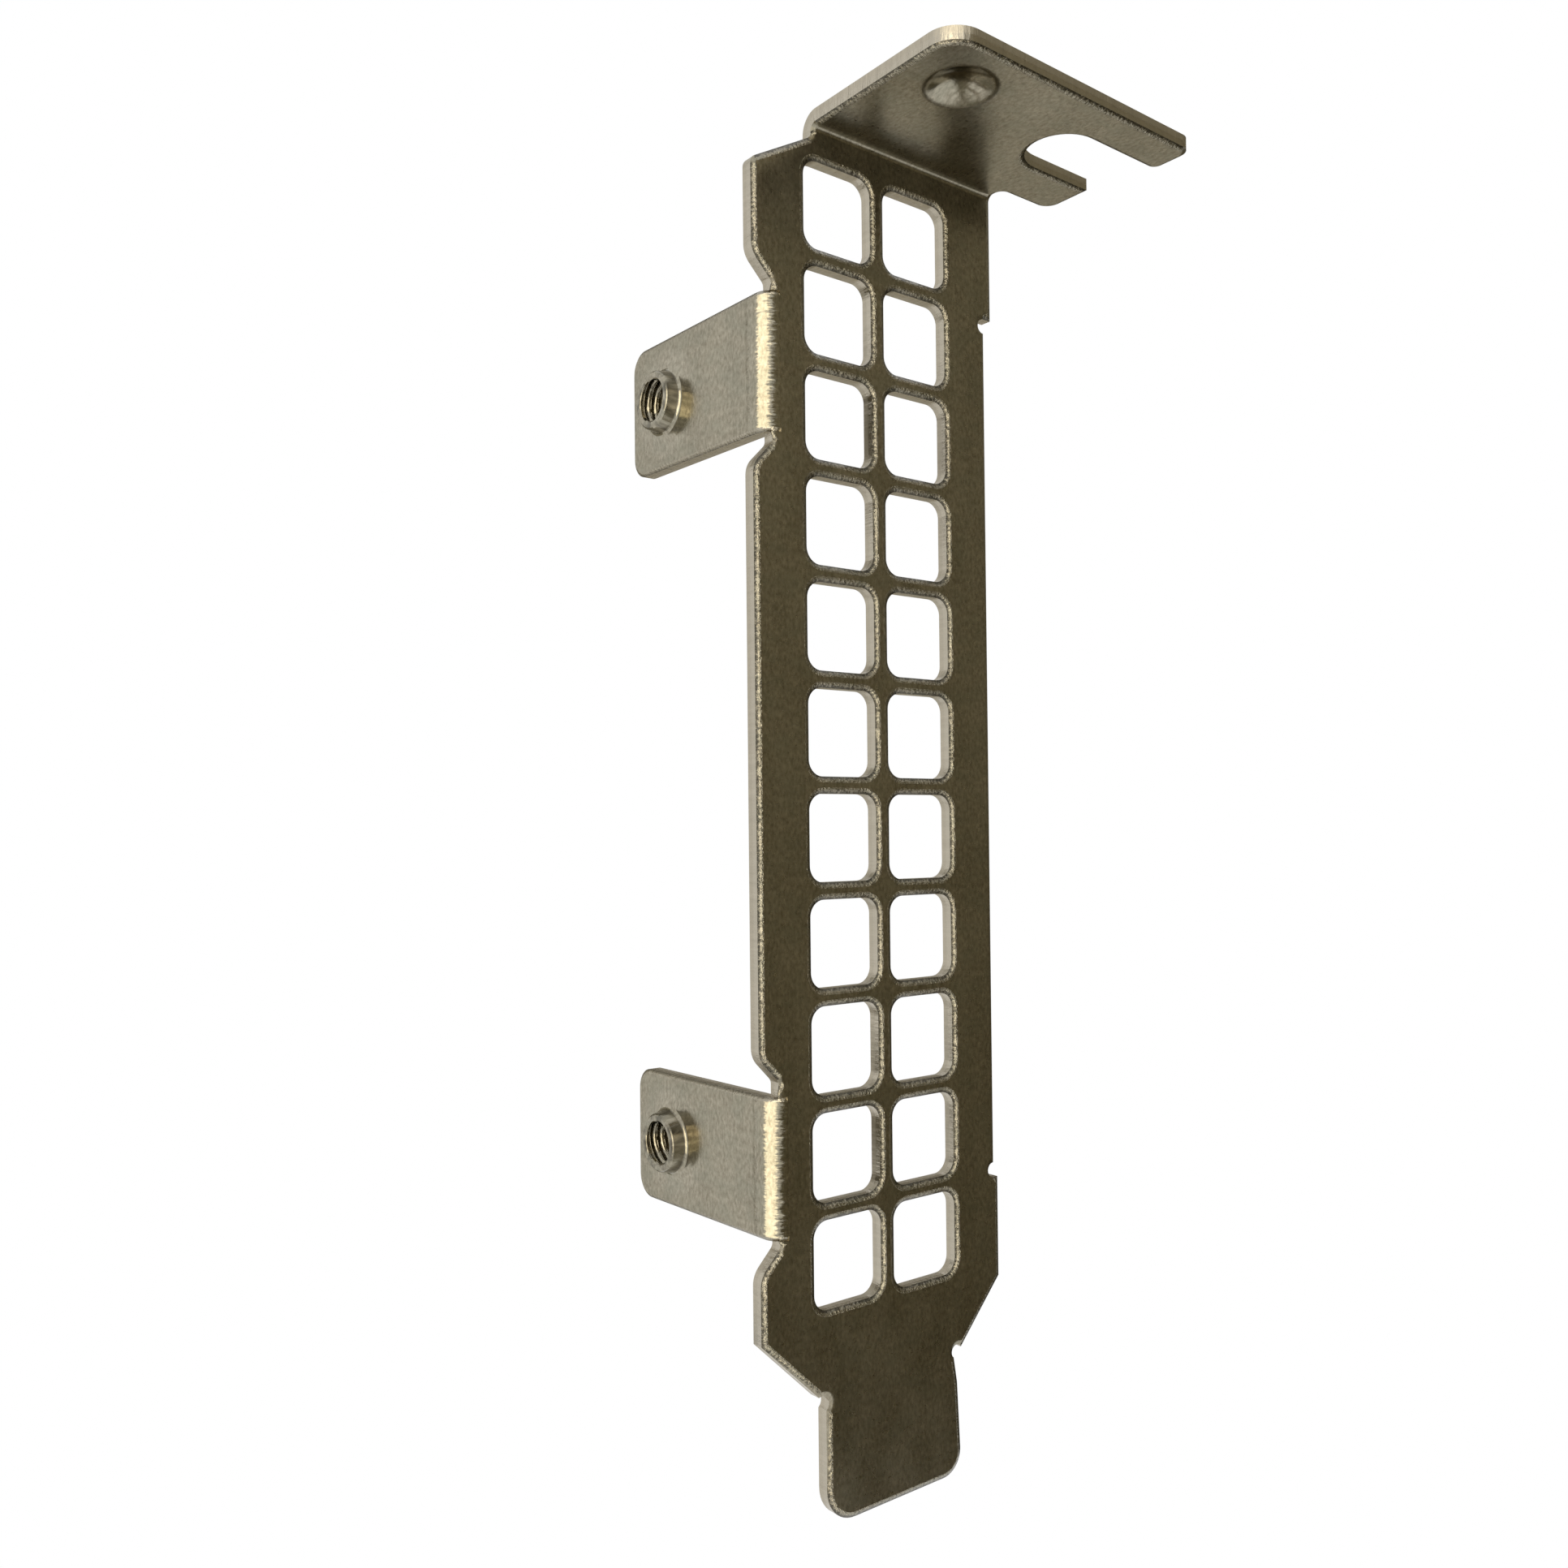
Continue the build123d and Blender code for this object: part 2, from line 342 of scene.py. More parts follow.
def unfold(p):
    """(x, z, depth) on the flat blank of a point of the folded sheet: x and z in metres, and the depth as
    a share of the sheet, 0 outside and 1 inside."""
    if p.z > -FOOT_FOLD_INSIDE:
        behind = p.y - (FACE_Y - FOOT_FOLD_INSIDE)
        if behind <= 0:
            return p.x, FOOT_FOLD_INSIDE - behind, p.z / SHEET
        above = p.z + FOOT_FOLD_INSIDE
        reach = math.hypot(behind, above)
        return p.x, math.atan2(above, behind) * FOOT_FOLD_INSIDE, (reach - FOOT_FOLD_INSIDE) / SHEET
    if p.y > EAR_FOLD_Y:
        return EAR_FOLD_X - EAR_FOLD_LENGTH - (p.y - EAR_FOLD_Y), p.z, (p.x - EAR_OUTER_X) / SHEET
    if in_ear(p):
        side, front = EAR_FOLD_X - p.x, EAR_FOLD_Y - p.y
        depth = (EAR_FOLD_OUTSIDE - math.hypot(side, front)) / SHEET
        return EAR_FOLD_X - math.atan2(side, front) * EAR_FOLD_OUTSIDE, p.z, depth
    return p.x, p.z, (p.y - FACE_Y) / SHEET


def in_ear(p):
    """True for a point of an ear or of its fold."""
    level = any(abs(p.z - z) < EAR_HEIGHT / 2 + WELD for z in EAR_CENTRES_Z)
    return level and p.x < EAR_FOLD_X + WELD


def near_collar(p):
    """True for a point of a drawn collar or its bore."""
    return any(math.hypot(p.y - COLLAR_Y, p.z - z) < COLLAR_REACH for z in EAR_CENTRES_Z)


def near_dimple(p):
    """True for a point of the dimple, on either side of the foot."""
    away = math.hypot(p.x - DIMPLE_CENTRE[0], p.y - DIMPLE_CENTRE[1])
    return p.z > -WELD and away < DIMPLE_REACH


def open_bores(shape):
    """Takes the plain walls of the two bores out of the bmesh."""
    walls = []
    for face in shape.faces:
        if not BORE_END_X - WELD < face.calc_center_median().x < BORE_START_X + WELD:
            continue
        for z in EAR_CENTRES_Z:
            far = [math.hypot(v.co.y - COLLAR_Y, v.co.z - z) for v in face.verts]
            if all(abs(r - BORE_RADIUS) < BORE_SLACK for r in far):
                walls.append(face)
    bmesh.ops.delete(shape, geom=walls, context="FACES")


def mark_sheet(shape):
    """Stores where each corner lies on the blank, and masks of the cut edges, their rolled part, the ears,
    the collars and the foot, which is 1 underneath and -1 on top."""
    blank = shape.loops.layers.float_vector.new("blank")
    names = ("cut_edge", "rolled_edge", "ear", "foot_side", "collar")
    masks = [shape.loops.layers.float.new(name) for name in names]
    for face in shape.faces:
        spots = [unfold(loop.vert.co) for loop in face.loops]
        depths = [spot[2] for spot in spots]
        tube = all(near_collar(vert.co) for vert in face.verts)
        drawn = tube or all(near_dimple(vert.co) for vert in face.verts)
        sheared = not drawn and max(depths) - min(depths) > CUT_STEP
        rolled = sheared and max(depths) < ROLL_DEPTH
        in_one_ear = all(in_ear(vert.co) for vert in face.verts)
        in_foot = min(vert.co.z for vert in face.verts) > -WELD and abs(face.normal.z) > LEVEL
        values = (
            float(sheared),
            (EAR_ROLL if in_one_ear else PLATE_ROLL) if rolled else 0.0,
            float(in_one_ear and not sheared),
            -math.copysign(1.0, face.normal.z) if in_foot else 0.0,
            float(tube),
        )
        for loop, spot in zip(face.loops, spots):
            loop[blank] = (spot[0] / MM, spot[1] / MM, spot[2])
            for mask, value in zip(masks, values):
                loop[mask] = value


def region_areas(shape):
    """The area of the flat region that each face lies in."""
    areas = {}
    for seed in shape.faces:
        if seed in areas:
            continue
        region, ahead = {seed}, [seed]
        while ahead:
            for edge in ahead.pop().edges:
                for near in edge.link_faces:
                    if near not in region and near.normal.dot(seed.normal) > COPLANAR:
                        region.add(near)
                        ahead.append(near)
        total = sum(face.calc_area() for face in region)
        areas.update((face, total) for face in region)
    return areas


def is_bank(face):
    """True for the narrow bevel of a blanked edge or of a collar's rim."""
    if all(near_collar(vert.co) for vert in face.verts):
        flat, steep = RIM_LEAN
        return face.calc_center_median().x < COLLAR_RIM_X and flat < abs(face.normal.x) < steep
    depths = [unfold(vert.co)[2] for vert in face.verts]
    return max(depths) < ROLL_DEPTH and max(depths) - min(depths) > CUT_STEP


def rolled_normals(shape, angle):
    """One normal for each corner: faces and walls keep their own, and the banks between them turn from one
    to the other, so that they look rolled."""
    areas = region_areas(shape)
    banks = {face for face in shape.faces if is_bank(face)}
    normals = []
    for face in shape.faces:
        least = math.cos(BANK_TURN if face in banks else angle)
        for loop in face.loops:
            total = Vector()
            for near in loop.vert.link_faces:
                if near not in banks and near.normal.dot(face.normal) > least:
                    total += near.normal * areas[near]
            normals.append(total.normalized() if total.length else face.normal.copy())
    return normals


def dressed_sheet(looks, material):
    """The bracket as one welded mesh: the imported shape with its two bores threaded."""
    shape = bmesh.new()
    shape.from_mesh(bpy.data.objects[NODE].data)
    bmesh.ops.remove_doubles(shape, verts=shape.verts, dist=WELD)
    open_bores(shape)
    thread = thread_mesh(material, looks)
    shape.from_mesh(thread)
    bpy.data.meshes.remove(thread)
    bmesh.ops.remove_doubles(shape, verts=shape.verts, dist=THREAD_WELD)
    bmesh.ops.recalc_face_normals(shape, faces=shape.faces)
    mark_sheet(shape)
    for face in shape.faces:
        face.smooth = True
        face.material_index = 0
    normals = rolled_normals(shape, looks.smooth_angle)
    mesh = bpy.data.meshes.new("bracket_sheet")
    shape.to_mesh(mesh)
    shape.free()
    mesh.normals_split_custom_set(normals)
    mesh.materials.append(material)
    sheet = bpy.data.objects.new("bracket_sheet", mesh)
    bpy.context.scene.collection.objects.link(sheet)
    return sheet


# Material


def attribute(tree, name, output="Fac"):
    """An attribute of the mesh."""
    return add_node(tree, "ShaderNodeAttribute", attribute_name=name).outputs[output]


def pattern(tree, vector, stretch, scale, detail, roughness):
    """A noise over the vector, which is stretched along its axes first."""
    stretched = vector_math(tree, "MULTIPLY", vector, stretch)
    return add_node(
        tree, "ShaderNodeTexNoise", links=[(stretched, "Vector")],
        Scale=scale, Detail=detail, Roughness=roughness,
    ).outputs[0]


def ramp(tree, value, low, high):
    """The value mapped from low..high to 0..1 and clamped."""
    node = add_node(tree, "ShaderNodeMapRange", From_Min=low, From_Max=high, links=[(value, "Value")])
    return node.outputs["Result"]


def mix(tree, value, a, b):
    """a where value is 0 and b where it is 1, each a socket or a number."""
    node = add_node(tree, "ShaderNodeMix", links=[(value, "Factor")])
    feed(tree, node.inputs[2], a)
    feed(tree, node.inputs[3], b)
    return node.outputs[0]


def mix_colour(tree, value, a, b):
    """a where value is 0 and b where it is 1, each a socket or a hex code."""
    node = add_node(tree, "ShaderNodeMix", data_type="RGBA", links=[(value, "Factor")])
    for index, colour in ((6, a), (7, b)):
        feed(tree, node.inputs[index], linear(colour) if isinstance(colour, str) else colour)
    return node.outputs[2]


def times(tree, vector, number):
    """The vector made longer by a number from a socket."""
    node = add_node(
        tree, "ShaderNodeVectorMath", operation="SCALE", links=[(vector, 0), (number, "Scale")],
    )
    return node.outputs[0]


def to_world(tree, vector):
    """A direction of the part as one of the scene."""
    node = add_node(
        tree, "ShaderNodeVectorTransform", vector_type="VECTOR", convert_from="OBJECT", convert_to="WORLD",
    )
    feed(tree, node.inputs[0], vector)
    return node.outputs[0]


def creased_normal(tree, tilt):
    """The surface normal turned a little round the ears' fold, whose axis is the part's Z."""
    normal = tree.nodes.new("ShaderNodeNewGeometry").outputs["Normal"]
    across = vector_math(tree, "CROSS_PRODUCT", normal, to_world(tree, (0.0, 0.0, 1.0)))
    return vector_math(tree, "NORMALIZE", vector_math(tree, "ADD", normal, times(tree, across, tilt)))


def from_dimple(tree, place):
    """The level vector from the dimple's axis, and its length."""
    from_centre = vector_math(tree, "SUBTRACT", place, (*DIMPLE_CENTRE, 0.0))
    level = vector_math(tree, "MULTIPLY", from_centre, (1.0, 1.0, 0.0))
    return level, vector_math(tree, "LENGTH", level)


def dimple_normal(tree, place, otherwise):
    """The normal of a pressed dimple with a soft lip round its centre, and the given one elsewhere."""
    side = attribute(tree, "foot_side")
    level, away = from_dimple(tree, place)
    sunk = math_node(tree, "SUBTRACT", DIMPLE_BALL**2, math_node(tree, "POWER", away, 2.0))
    lip_start, lip_end = DIMPLE_LIP
    lip = add_node(
        tree, "ShaderNodeMapRange", interpolation_type="SMOOTHSTEP", From_Min=lip_start, From_Max=lip_end,
        To_Min=-1.0, To_Max=0.0, links=[(away, "Value")],
    ).outputs["Result"]
    slope = math_node(tree, "DIVIDE", lip, math_node(tree, "SQRT", sunk))
    slope = math_node(tree, "MULTIPLY", slope, side)
    down = add_node(
        tree, "ShaderNodeCombineXYZ", links=[(math_node(tree, "MULTIPLY", side, -1.0), "Z")],
    ).outputs[0]
    turned = vector_math(tree, "NORMALIZE", vector_math(tree, "ADD", times(tree, level, slope), down))
    inside = math_node(tree, "LESS_THAN", away, lip_end)
    chosen = math_node(tree, "MULTIPLY", inside, math_node(tree, "ABSOLUTE", side))
    both = add_node(
        tree, "ShaderNodeMix", data_type="VECTOR",
        links=[(chosen, 0), (otherwise, 4), (to_world(tree, turned), 5)],
    )
    return both.outputs[1]


def dimple_mask(tree, place):
    """1 inside the dimple, and down to 0 over its lip."""
    away = from_dimple(tree, place)[1]
    inside = math_node(tree, "SUBTRACT", 1.0, ramp(tree, away, *DIMPLE_LIP))
    return math_node(tree, "MULTIPLY", inside, math_node(tree, "ABSOLUTE", attribute(tree, "foot_side")))


def pressed_mask(tree, where):
    """1 where the collars' punch pressed the sheet smooth round each of them."""
    upper, lower = EAR_CENTRES_Z
    off_middle = math_node(tree, "ABSOLUTE", math_node(tree, "SUBTRACT", where["Z"], (upper + lower) / 2))
    along = math_node(tree, "SUBTRACT", off_middle, (upper - lower) / 2)
    across = math_node(tree, "SUBTRACT", where["Y"], COLLAR_Y)
    squares = [math_node(tree, "POWER", leg, 2.0) for leg in (across, along)]
    away = math_node(tree, "SQRT", math_node(tree, "ADD", *squares))
    return math_node(tree, "SUBTRACT", 1.0, ramp(tree, away, *PRESSED_RING))


def fold_masks(tree, across, crease, looks):
    """Three masks of the ears' folds, by the distance across the blank: the creased strip with its ragged
    end, the bend that eases out into the ear, and the mark of the folding bar beside it."""
    ear = attribute(tree, "ear")
    start, end = EAR_FOLD_X / MM, (EAR_FOLD_X - EAR_FOLD_LENGTH) / MM
    ragged = math_node(tree, "ADD", across, math_node(tree, "MULTIPLY", crease, CREASED_RAGGED))
    creased = ramp(tree, ragged, *(end + past for past in CREASED_END))

    ease = looks.ease_out / MM
    into_fold = math_node(tree, "DIVIDE", math_node(tree, "SUBTRACT", start, across), start - end)
    into_ear = math_node(tree, "DIVIDE", math_node(tree, "SUBTRACT", across, end - ease), ease)
    eased = math_node(tree, "MAXIMUM", math_node(tree, "MINIMUM", into_fold, into_ear), 0.0)

    beside = math_node(tree, "SUBTRACT", across, end - looks.bar_mark / MM)
    beside = math_node(tree, "DIVIDE", math_node(tree, "ABSOLUTE", beside), BAR_MARK_HALF)
    mark = math_node(tree, "SUBTRACT", 1.0, beside, clamp=True)
    return [math_node(tree, "MULTIPLY", mask, ear) for mask in (creased, eased, mark)]


def plated_steel(looks):
    """Nickel plated cold rolled steel sheet: rolled grain on the faces, shear marks on the blanked edges,
    torn peel and painted crevice shade where they roll over, creases across the folds and galling on the
    drawn collars, with darker patches on their barrels."""
    material = bpy.data.materials.new("Nickel plated cold rolled steel, blanked and folded")
    material.use_nodes = True
    tree = material.node_tree
    tree.nodes.clear()

    def calc(operation, a, b=None):
        return math_node(tree, operation, a, b)

    # Where a point lies on the flat blank and on the folded part
    blank = attribute(tree, "blank", "Vector")
    flat = add_node(tree, "ShaderNodeSeparateXYZ", links=[(blank, "Vector")]).outputs
    place = add_node(tree, "ShaderNodeTexCoord").outputs["Object"]
    where = add_node(tree, "ShaderNodeSeparateXYZ", links=[(place, "Vector")]).outputs
    cut = attribute(tree, "cut_edge")
    roll = attribute(tree, "rolled_edge")
    collar = attribute(tree, "collar")

    # Marks that rolling, blanking, folding, punching and drawing leave
    grain = pattern(tree, blank, *GRAIN)
    cloud = pattern(tree, blank, *CLOUD)
    shear = pattern(tree, blank, *SHEAR)
    peel = pattern(tree, blank, *PEEL)
    crease = pattern(tree, blank, *CREASE)
    coarse = pattern(tree, blank, *COARSE_CREASE)
    gall = pattern(tree, place, *GALL)
    specks = ramp(tree, pattern(tree, blank, *SPECKS), *SPECKS_SHOW)
    patches = ramp(tree, pattern(tree, blank, *PATCHES), *PATCHES_SHOW)
    torn = ramp(tree, flat["Z"], *TORN_SHOW)
    creased, eased, mark = fold_masks(tree, flat["X"], crease, looks)
    pressed = pressed_mask(tree, where)
    dent = dimple_mask(tree, place)

    # Relief: each kind of surface has its own marks and depth
    height, relief = grain, looks.grain_depth
    for mask, marks, deep in (
        (cut, shear, looks.shear_depth),
        (roll, peel, looks.peel_depth),
        (creased, coarse, looks.crease_depth),
        (collar, gall, looks.gall_depth),
    ):
        height = mix(tree, mask, height, marks)
        relief = mix(tree, mask, relief, deep)

    # Tilt round the folds' axis: fine creases, the bar's mark, and the bend that eases out
    tilt = calc("MULTIPLY", calc("MULTIPLY", calc("SUBTRACT", crease, 0.5), looks.crease_tilt), creased)
    tilt = calc("ADD", tilt, calc("MULTIPLY", mark, BAR_MARK_TILT))
    tilt = calc("SUBTRACT", tilt, calc("MULTIPLY", eased, looks.ease_tilt))
    bump = add_node(
        tree, "ShaderNodeBump", Distance=1.0,
        links=[
            (calc("MULTIPLY", height, relief), "Height"),
            (dimple_normal(tree, place, creased_normal(tree, tilt)), "Normal"),
        ],
    )

    # Roughness: clouds and smooth specks on the faces, a burnished and a torn band on the cut edges
    rough = calc("ADD", calc("MULTIPLY", cloud, CLOUD_ROUGH), looks.roughness - CLOUD_ROUGH / 2)
    rough = calc("ADD", rough, calc("MULTIPLY", specks, SPECK_ROUGH))
    bands = mix(tree, torn, looks.roughness + BURNISHED_ROUGH, looks.roughness + TORN_ROUGH)
    rough = mix(tree, cut, rough, bands)
    for mask, step in (
        (creased, BENT_ROUGH),
        (calc("MAXIMUM", roll, pressed), ROLLED_ROUGH),
        (dent, DENT_ROUGH),
        (collar, COLLAR_ROUGH),
    ):
        rough = mix(tree, mask, rough, looks.roughness + step)

    # Painted shade in the crevice where an edge starts to roll, and dark patches on the collars' barrels
    ragged = calc("ADD", flat["Z"], calc("MULTIPLY", calc("SUBTRACT", peel, 0.5), CREVICE_RAGGED))
    crevice = calc("MULTIPLY", ramp(tree, ragged, *CREVICE_SHOW), ramp(tree, roll, *CREVICE_ROLL))
    barrel = calc("MULTIPLY", collar, calc("LESS_THAN", where["X"], BARREL_START_X))
    # Darker patches on the barrels where the gall noise runs high
    barrel_dark_patches = calc("MULTIPLY", ramp(tree, gall, *BARREL_DARK_SHOW), barrel)
    dark = calc("MAXIMUM", crevice, calc("MULTIPLY", barrel_dark_patches, BARREL_DARK_SHARE))

    # Colour: mottled plate with cooler patches, bare steel on the cut edges, and on top the painted crevice
    # shade and the barrels' dark patches
    mottle = calc("ADD", calc("MULTIPLY", grain, 1 - CLOUD_SHARE), calc("MULTIPLY", cloud, CLOUD_SHARE))
    colour = mix_colour(tree, ramp(tree, mottle, *MOTTLE_SHOW), DULL_PLATE, BRIGHT_PLATE)
    for mask, share, over in (
        (patches, COOL_SHARE, COOL_PLATE),
        (calc("SUBTRACT", cut, roll), BARE_SHARE, BARE_STEEL),
        (dark, CREVICE_SHADE_AND_BARREL_DARK_SHARE, CREVICE_SHADE_AND_BARREL_DARK),
    ):
        colour = mix_colour(tree, calc("MULTIPLY", mask, share), colour, over)

    shader = add_node(
        tree, "ShaderNodeBsdfPrincipled", Metallic=1.0,
        links=[(colour, "Base Color"), (rough, "Roughness"), (bump.outputs[0], "Normal")],
    )
    add_node(tree, "ShaderNodeOutputMaterial", links=[(shader.outputs[0], "Surface")])
    return material


# Stage


def matt_cloth(name, colour):
    """A plain matt material for a card."""
    material = bpy.data.materials.new(name)
    material.use_nodes = True
    shader = material.node_tree.nodes["Principled BSDF"]
    shader.inputs["Base Color"].default_value = linear(colour)
    shader.inputs["Roughness"].default_value = 1.0
    return material


def graded_cloth(name, low, high, reach):
    """A matt material with painted light and shade: its colour runs from low to high over the reach either
    side of its card's middle.
    """
    material = matt_cloth(name, low)
    tree = material.node_tree
    place = add_node(tree, "ShaderNodeTexCoord").outputs["Object"]
    up = add_node(tree, "ShaderNodeSeparateXYZ", links=[(place, "Vector")]).outputs["Y"]
    shade = mix_colour(tree, ramp(tree, up, -reach, reach), low, high)
    tree.links.new(shade, tree.nodes["Principled BSDF"].inputs["Base Color"])
    return material


def stage_card(name, centre, facing, width, height, material):
    """A flat card of the stage that faces a point."""
    mesh = bpy.data.meshes.new(name)
    x, y = width / 2, height / 2
    mesh.from_pydata([(-x, -y, 0), (x, -y, 0), (x, y, 0), (-x, y, 0)], [], [(0, 1, 2, 3)])
    mesh.materials.append(material)
    card = bpy.data.objects.new(name, mesh)
    bpy.context.scene.collection.objects.link(card)
    card.location = centre
    card.rotation_euler = (facing - centre).to_track_quat("Z", "Y").to_euler()
    card.visible_camera = False


def soft_light(name, centre, facing, width, height, power, colour):
    """A soft rectangular lamp that faces a point."""
    lamp = bpy.data.lights.new(name, "AREA")
    lamp.shape = "RECTANGLE"
    lamp.size, lamp.size_y = width, height
    lamp.energy = power
    lamp.color = linear(colour)[:3]
    light = bpy.data.objects.new(name, lamp)
    bpy.context.scene.collection.objects.link(light)
    light.location = centre
    light.rotation_euler = (centre - facing).to_track_quat("Z", "Y").to_euler()
    light.visible_camera = False


def shown_rays(tree):
    """1 for rays from the camera and for mirrored and refracted rays, 0 for the rest."""
    path = tree.nodes.new("ShaderNodeLightPath").outputs
    mirrored = math_node(tree, "MAXIMUM", path["Is Glossy Ray"], path["Is Transmission Ray"])
    return math_node(tree, "MAXIMUM", path["Is Camera Ray"], mirrored)


def pale_world(strength):
    """White where it is seen or mirrored, and a plain pale light on everything else."""
    world = bpy.data.worlds.new("Pale studio")
    bpy.context.scene.world = world
    world.use_nodes = True
    tree = world.node_tree
    tree.nodes.clear()
    seen = add_node(tree, "ShaderNodeBackground", Color=linear("#ffffff"), Strength=1.0)
    lit = add_node(tree, "ShaderNodeBackground", Color=linear("#f4f1ea"), Strength=strength)
    both = add_node(
        tree, "ShaderNodeMixShader",
        links=[(shown_rays(tree), 0), (lit.outputs[0], 1), (seen.outputs[0], 2)],
    )
    add_node(tree, "ShaderNodeOutputWorld", links=[(both.outputs[0], "Surface")])


def pale_floor(height):
    """A wide plain floor that shows white with a faint shadow."""
    material = bpy.data.materials.new("Pale matt floor")
    material.use_nodes = True
    tree = material.node_tree
    tree.nodes.clear()
    place = add_node(tree, "ShaderNodeTexCoord").outputs["Object"]
    matt = add_node(tree, "ShaderNodeBsdfDiffuse", Color=linear("#f2f0ec"))
    white = add_node(tree, "ShaderNodeEmission", Color=linear("#ffffff"), Strength=1.0)
    near, far = FLOOR_FADE
    fade = add_node(
        tree, "ShaderNodeMapRange", From_Min=near, From_Max=far, To_Min=FLOOR_WHITE,
        links=[(vector_math(tree, "LENGTH", place), "Value")],
    )
    shown = math_node(tree, "MULTIPLY", shown_rays(tree), fade.outputs["Result"])
    both = add_node(
        tree, "ShaderNodeMixShader",
        links=[(shown, 0), (matt.outputs[0], 1), (white.outputs[0], 2)],
    )
    add_node(tree, "ShaderNodeOutputMaterial", links=[(both.outputs[0], "Surface")])
    mesh = bpy.data.meshes.new("floor")
    half = FLOOR_SIZE / 2
    mesh.from_pydata(
        [(-half, -half, height), (half, -half, height), (half, half, height), (-half, half, height)],
        [], [(0, 1, 2, 3)],
    )
    mesh.materials.append(material)
    floor = bpy.data.objects.new("floor", mesh)
    bpy.context.scene.collection.objects.link(floor)


def photo_camera(stage):
    """The camera at the photograph's place, with its small lens shift."""
    data = bpy.data.cameras.new("Photo camera")
    data.sensor_width = SENSOR_WIDTH
    data.lens = stage.focal_length
    data.shift_x, data.shift_y = stage.shift
    data.clip_start, data.clip_end = CLIP
    camera = bpy.data.objects.new("Photo camera", data)
    bpy.context.scene.collection.objects.link(camera)
    yaw, pitch, roll = stage.turn
    forward = Matrix.Rotation(-yaw, 4, "Z") @ Matrix.Rotation(math.pi / 2 + pitch, 4, "X")
    camera.matrix_world = Matrix.Translation(stage.place) @ forward @ Matrix.Rotation(roll, 4, "Z")
    bpy.context.scene.camera = camera


# Settings


class BracketLooks(bpy.types.PropertyGroup):
    """Sizes of the thread and of the surface's relief."""

    thread_pitch: bpy.props.FloatProperty(
        name="Thread pitch", description="Rise of the thread in one turn",
        default=0.5 * MM, min=0.1 * MM, precision=5, subtype="DISTANCE", unit="LENGTH",
    )
    thread_depth: bpy.props.FloatProperty(
        name="Thread depth", description="How far the groove is cut into the bore",
        default=0.26 * MM, min=0.0, precision=5, subtype="DISTANCE", unit="LENGTH",
    )
    thread_run_out: bpy.props.FloatProperty(
        name="Thread run-out", description="Length over which the groove fades at each end",
        default=0.10 * MM, min=0.01 * MM, precision=5, subtype="DISTANCE", unit="LENGTH",
    )
    thread_rings: bpy.props.IntProperty(
        name="Thread rings", description="Points along the bore", default=44, min=8,
    )
    smooth_angle: bpy.props.FloatProperty(
        name="Smooth angle", description="Edges flatter than this are shaded smooth",
        default=math.radians(50), subtype="ANGLE", unit="ROTATION",
    )
    roughness: bpy.props.FloatProperty(
        name="Roughness", description="Mean roughness of the plated face", default=0.30, min=0.0, max=1.0,
    )
    grain_depth: bpy.props.FloatProperty(
        name="Grain depth", description="Relief of the rolled grain on flat faces",
        default=0.008 * MM, precision=6, subtype="DISTANCE", unit="LENGTH",
    )
    shear_depth: bpy.props.FloatProperty(
        name="Shear depth", description="Relief of the marks on blanked edges",
        default=0.040 * MM, precision=6, subtype="DISTANCE", unit="LENGTH",
    )
    peel_depth: bpy.props.FloatProperty(
        name="Peel depth", description="Relief of the torn peel where an edge rolls over",
        default=0.110 * MM, precision=6, subtype="DISTANCE", unit="LENGTH",
    )
    crease_depth: bpy.props.FloatProperty(
        name="Crease depth", description="Relief of the coarser creases in the folds",
        default=0.030 * MM, precision=6, subtype="DISTANCE", unit="LENGTH",
    )
    crease_tilt: bpy.props.FloatProperty(
        name="Crease tilt", description="How far fine creases turn the surface round the fold",
        default=0.7, min=0.0,
    )
    bar_mark: bpy.props.FloatProperty(
        name="Bar mark", description="Distance of the folding bar's mark from the end of the fold",
        default=0.80 * MM, min=0.0, precision=5, subtype="DISTANCE", unit="LENGTH",
    )
    ease_out: bpy.props.FloatProperty(
        name="Ease out", description="Length over which the ears' bend eases out into the flat",
        default=0.60 * MM, min=0.01 * MM, precision=5, subtype="DISTANCE", unit="LENGTH",
    )
    ease_tilt: bpy.props.FloatProperty(
        name="Ease tilt", description="How far the surface still leans at the end of the fold",
        default=0.43, min=0.0,
    )
    gall_depth: bpy.props.FloatProperty(
        name="Gall depth", description="Relief of the galling on the collars",
        default=0.028 * MM, precision=6, subtype="DISTANCE", unit="LENGTH",
    )


class StageLooks(bpy.types.PropertyGroup):
    """Camera, lamps and floor."""

    place: bpy.props.FloatVectorProperty(
        name="Camera place", description="Where the camera stands",
        default=(-61.25 * MM, -53.38 * MM, -39.64 * MM), size=3, precision=5,
        subtype="TRANSLATION", unit="LENGTH",
    )
    turn: bpy.props.FloatVectorProperty(
        name="Camera turn", description="Yaw from +Y towards +X, pitch up and roll",
        default=(math.radians(39.76), math.radians(0.94), math.radians(-0.61)), size=3,
        subtype="EULER", unit="ROTATION",
    )
    focal_length: bpy.props.FloatProperty(
        name="Focal length", description="Lens in millimetres on a 36 mm sensor", default=31.47, min=1.0,
    )
    shift: bpy.props.FloatVectorProperty(
        name="Lens shift", description="Shift of the frame across and up, in frame widths",
        default=(-0.0418, 0.0149), size=2, precision=4,
    )
    fill: bpy.props.FloatProperty(
        name="Fill", description="Brightness of the pale surroundings", default=0.42, min=0.0,
    )
    key_power: bpy.props.FloatProperty(
        name="Key power", description="Watts of the soft lamp", default=2.5, min=0.0,
    )
    floor_drop: bpy.props.FloatProperty(
        name="Floor drop", description="Gap between the part and the floor",
        default=300 * MM, min=0.0, subtype="DISTANCE", unit="LENGTH",
    )


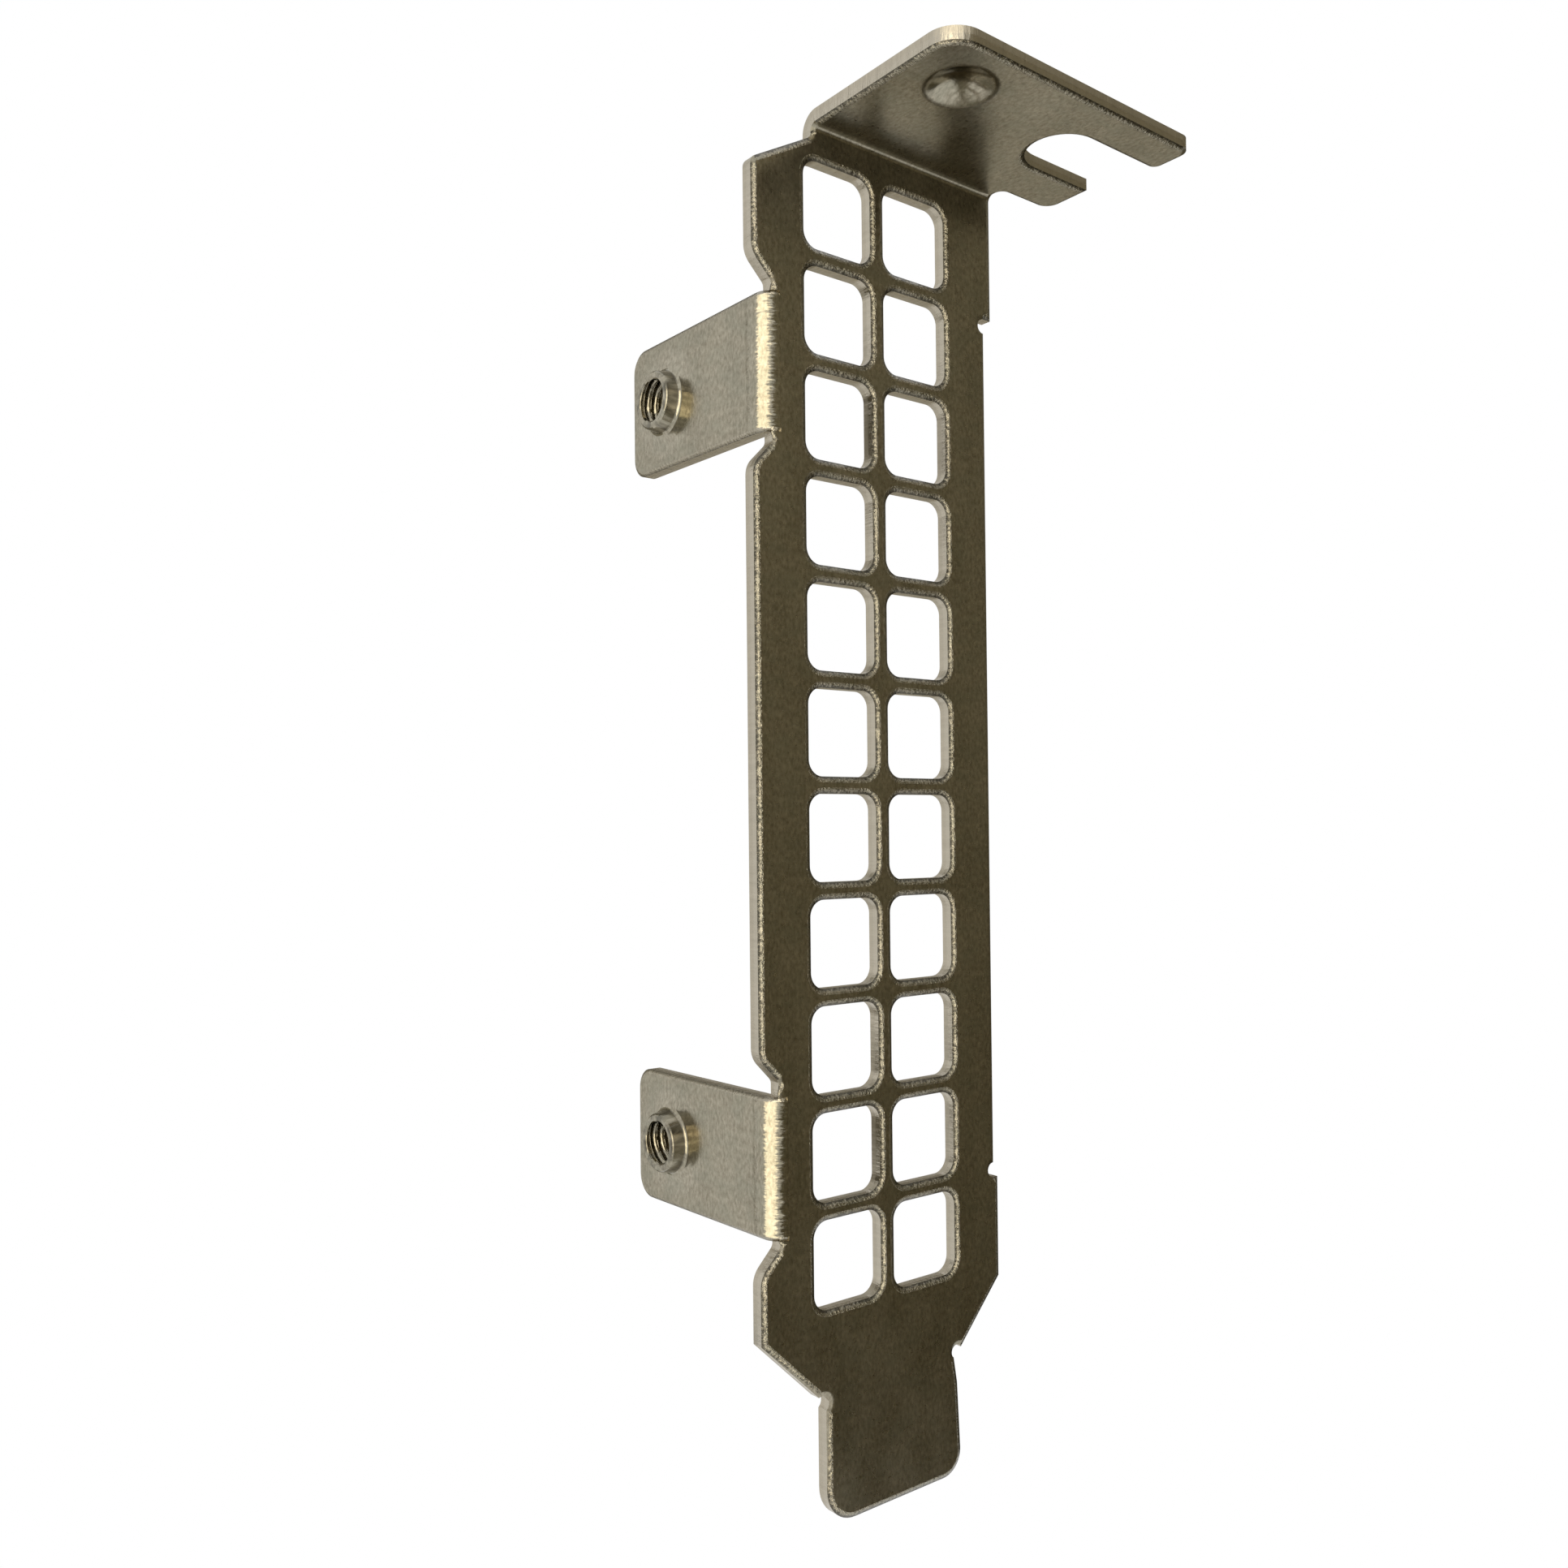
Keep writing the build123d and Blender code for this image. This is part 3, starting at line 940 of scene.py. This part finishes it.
# Operators


class BRACKET_OT_sheet(bpy.types.Operator):
    """Dress the bracket: weld a copy of its mesh, thread its bores and plate it"""

    bl_idname = "bracket.sheet"
    bl_label = "Dress the sheet"

    def execute(self, context):
        looks = context.scene.bracket_looks
        sheet = dressed_sheet(looks, plated_steel(looks))
        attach(sheet, BODY)
        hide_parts(NODE)
        return {"FINISHED"}


class BRACKET_OT_stage(bpy.types.Operator):
    """Set the pale studio: floor, surroundings, lamps and the photograph's camera"""

    bl_idname = "bracket.stage"
    bl_label = "Set the stage"

    def execute(self, context):
        stage = context.scene.bracket_stage
        low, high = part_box(NODE)
        middle = (low + high) / 2
        pale_world(stage.fill)
        pale_floor(low.z - stage.floor_drop)
        # Painted light and shade on the cards: the olive cloth is painted lighter towards its cards' tops,
        # the shaded wall darker
        olive = graded_cloth("Dark olive cloth", "#69634f", "#aeaa9a", 0.30)
        brown = matt_cloth("Dark brown cloth", "#4f4a3c")
        grey = matt_cloth("Grey wall", "#cbccca")
        shaded = graded_cloth("Shaded wall", "#eeeeea", "#8a8577", 0.16)
        # Each card's name, place from the part's middle, width, height and material
        for name, away, width, height, material in (
            ("dark side", (0.30, -0.32, 0.0), 0.86, 1.00, olive),
            ("right side", (0.56, 0.12, 0.0), 0.40, 1.00, olive),
            ("low side", (0.30, -0.14, -0.40), 0.60, 0.40, brown),
            ("far side", (0.36, 0.42, -0.03), 0.75, 0.62, shaded),
            ("back side", (0.0, 0.46, 0.0), 0.42, 0.90, grey),
        ):
            stage_card(name, middle + Vector(away), middle, width, height, material)
        key_place = middle + Vector(KEY_PLACE)
        soft_light("key", key_place, middle, *KEY_SIZE, stage.key_power, KEY_COLOUR)
        photo_camera(stage)
        return {"FINISHED"}


class BRACKET_PT_panel(bpy.types.Panel):
    """Sidebar panel of the bracket"""

    bl_label = "Bracket"
    bl_space_type = "VIEW_3D"
    bl_region_type = "UI"
    bl_category = "Bracket"

    def draw(self, context):
        for group in (context.scene.bracket_looks, context.scene.bracket_stage):
            box = self.layout.box()
            for name in group.__annotations__:
                box.prop(group, name)
        self.layout.operator(BRACKET_OT_sheet.bl_idname)
        self.layout.operator(BRACKET_OT_stage.bl_idname)


CLASSES = (BracketLooks, StageLooks, BRACKET_OT_sheet, BRACKET_OT_stage, BRACKET_PT_panel)


def register():
    for item in CLASSES:
        bpy.utils.register_class(item)
    bpy.types.Scene.bracket_looks = bpy.props.PointerProperty(type=BracketLooks)
    bpy.types.Scene.bracket_stage = bpy.props.PointerProperty(type=StageLooks)


def unregister():
    del bpy.types.Scene.bracket_stage
    del bpy.types.Scene.bracket_looks
    for item in reversed(CLASSES):
        bpy.utils.unregister_class(item)


def main():
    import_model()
    for name in ("Cube", "Light", "Camera"):
        if name in bpy.data.objects:
            bpy.data.objects.remove(bpy.data.objects[name])
    bpy.context.scene.view_settings.view_transform = "Standard"
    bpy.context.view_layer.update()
    register()
    bpy.ops.bracket.sheet()
    bpy.ops.bracket.stage()


if __name__ == "__main__":
    main()
